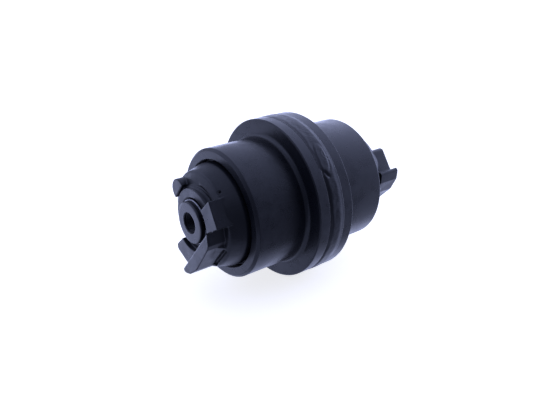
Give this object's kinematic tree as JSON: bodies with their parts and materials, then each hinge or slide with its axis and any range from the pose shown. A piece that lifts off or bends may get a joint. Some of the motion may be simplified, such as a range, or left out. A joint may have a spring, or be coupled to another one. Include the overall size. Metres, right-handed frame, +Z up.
{
  "type": "track roller",
  "caption": "Centre-flange bottom roller for a small excavator: sealed, bushed roller body turning on a fixed shaft held by lugged end collars.",
  "frame": {"origin": "centre of the roller, on its axis, midway between the two shaft ends", "axes": "+Y along the shaft towards the right end, +Z up, +X across the roller"},
  "size_m": [0.15, 0.2146, 0.15],
  "materials": {
    "painted_steel": "satin blue-black paint over machined steel",
    "weld_metal": "satin blue-black paint over an arc weld",
    "painted_casting": "satin blue-black paint over a forged skin",
    "painted_shaft": "satin blue-black paint over ground steel",
    "bearing_bronze": "machined bronze",
    "seal_iron": "lapped face, cast body",
    "seal_rubber": "matt nitrile",
    "spring_steel": "satin blue-black paint over spring steel",
    "plug_steel": "zinc plated"
  },
  "bodies": {
    "axle": {"shaft": "painted_shaft", "oil_plug": "plug_steel", "collar_left": "painted_casting", "collar_right": "painted_casting", "seal_ring_fixed_left": "seal_iron", "seal_ring_fixed_right": "seal_iron", "toric_ring_collar_left": "seal_rubber", "toric_ring_collar_right": "seal_rubber", "shaft_oring_left": "seal_rubber", "shaft_oring_right": "seal_rubber", "lock_pin_left": "spring_steel", "lock_pin_right": "spring_steel", "retaining_ring_left": "spring_steel", "retaining_ring_right": "spring_steel"},
    "roller": {"shell_half_left": "painted_steel", "shell_half_right": "painted_steel", "weld_bead": "weld_metal", "bush_left": "bearing_bronze", "bush_right": "bearing_bronze", "seal_ring_rotating_left": "seal_iron", "seal_ring_rotating_right": "seal_iron", "toric_ring_shell_left": "seal_rubber", "toric_ring_shell_right": "seal_rubber"}
  },
  "joints": [
    {"name": "roller_spin", "type": "hinge", "parent": "axle", "child": "roller", "pos_m": [0, 0, 0], "axis": [0, 1, 0], "continuous": true}
  ]
}
